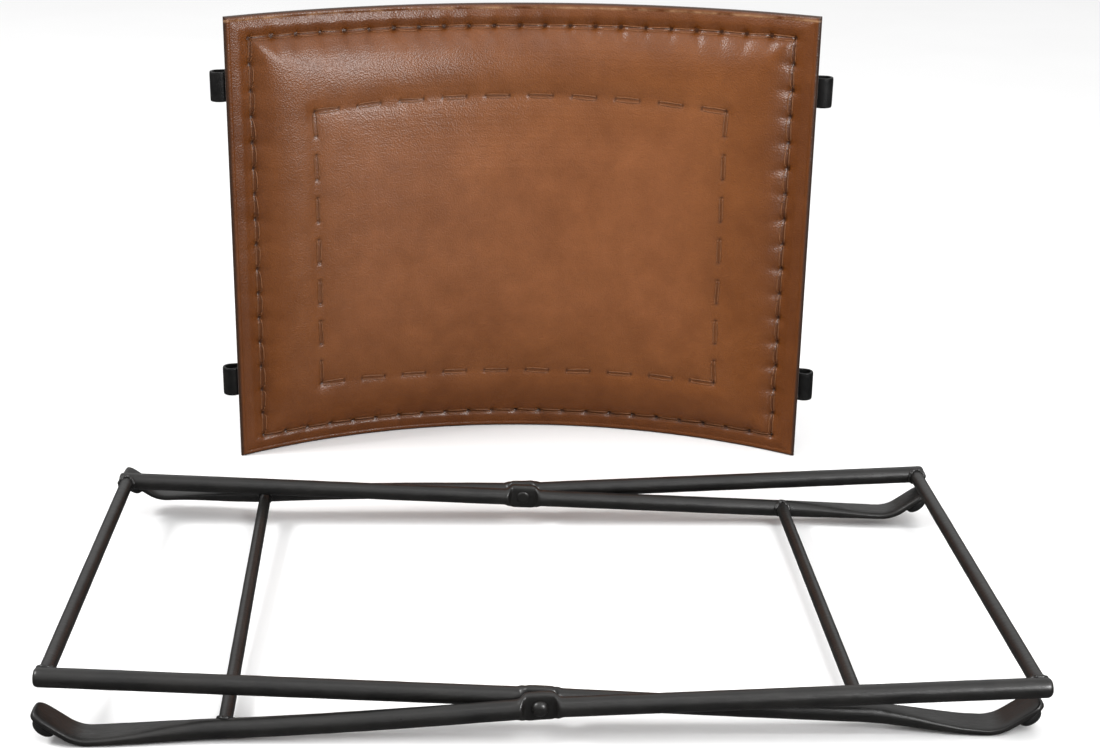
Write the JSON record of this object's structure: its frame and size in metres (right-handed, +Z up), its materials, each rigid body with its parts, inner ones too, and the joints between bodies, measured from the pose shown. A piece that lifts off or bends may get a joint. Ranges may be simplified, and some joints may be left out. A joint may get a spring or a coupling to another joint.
{
  "type": "folding sling stool",
  "caption": "Folding riveted iron X frame with turned-up feet, and its removable padded leather sling with bar loops; serves as a low stool or a sling rack.",
  "frame": {"origin": "middle of the bounding box's underside, on the floor between the spread frame and the sling standing behind it", "axes": "+X to the right along the frame's legs, +Y from the frame towards the sling, +Z up"},
  "size_m": [0.6292, 0.553, 0.373],
  "materials": {
    "blackened_iron": "satin, forged and blackened",
    "glide_rubber": "matte",
    "tan_leather": "waxed, semi-gloss, burnished edges",
    "back_leather": "matte",
    "padding_foam": "open foam, not seen",
    "thread": "waxed thread",
    "strap_leather": "satin",
    "snap_metal": "black nickel"
  },
  "bodies": {
    "sling": {"sling_front_leather": "tan_leather", "sling_back_leather": "back_leather", "sling_padding": "padding_foam", "sling_hem_stitching": "thread", "sling_inner_stitching": "thread", "strap_base_upper_left": "strap_leather", "strap_base_lower_left": "strap_leather", "strap_base_upper_right": "strap_leather", "strap_base_lower_right": "strap_leather", "snap_studs": "snap_metal", "strap_rivets": "snap_metal"},
    "inner_frame": {"inner_leg_near": "blackened_iron", "inner_leg_far": "blackened_iron", "inner_top_bar": "blackened_iron", "inner_stretcher": "blackened_iron", "inner_weld_beads": "blackened_iron", "inner_glide_near": "glide_rubber", "inner_glide_far": "glide_rubber"},
    "outer_frame": {"outer_leg_near": "blackened_iron", "outer_leg_far": "blackened_iron", "outer_top_bar": "blackened_iron", "outer_stretcher": "blackened_iron", "outer_weld_beads": "blackened_iron", "outer_glide_near": "glide_rubber", "outer_glide_far": "glide_rubber", "pivot_rivet_near": "blackened_iron", "pivot_rivet_far": "blackened_iron"},
    "strap_upper_left": {"strap_tongue_upper_left": "strap_leather", "snap_cap_upper_left": "snap_metal"},
    "strap_lower_left": {"strap_tongue_lower_left": "strap_leather", "snap_cap_lower_left": "snap_metal"},
    "strap_upper_right": {"strap_tongue_upper_right": "strap_leather", "snap_cap_upper_right": "snap_metal"},
    "strap_lower_right": {"strap_tongue_lower_right": "strap_leather", "snap_cap_lower_right": "snap_metal"}
  },
  "joints": [
    {"name": "frame_fold", "type": "hinge", "parent": "inner_frame", "child": "outer_frame", "pos_m": [0.00007, -0.09645, 0.0218], "axis": [0, -1, 0], "range_deg": [0, 168]},
    {"name": "foot_rock", "type": "hinge", "parent": "sling", "child": "inner_frame", "pos_m": [0.29438, -0.09645, 0.02195], "axis": [0, 1, 0], "range_deg": [0, 84.2]},
    {"name": "unsnap_upper_left", "type": "hinge", "parent": "sling", "child": "strap_upper_left", "pos_m": [-0.24456, 0.21468, 0.3165], "axis": [0, 0, 1], "range_deg": [0, 90]},
    {"name": "unsnap_lower_left", "type": "hinge", "parent": "sling", "child": "strap_lower_left", "pos_m": [-0.24456, 0.21468, 0.066], "axis": [0, 0, 1], "range_deg": [0, 90]},
    {"name": "unsnap_upper_right", "type": "hinge", "parent": "sling", "child": "strap_upper_right", "pos_m": [0.24471, 0.21468, 0.3115], "axis": [0, 0, -1], "range_deg": [0, 90]},
    {"name": "unsnap_lower_right", "type": "hinge", "parent": "sling", "child": "strap_lower_right", "pos_m": [0.24471, 0.21468, 0.0615], "axis": [0, 0, -1], "range_deg": [0, 90]}
  ],
  "couplings": [
    {"joint": "foot_rock", "follows": "frame_fold", "ratio": 0.5}
  ]
}
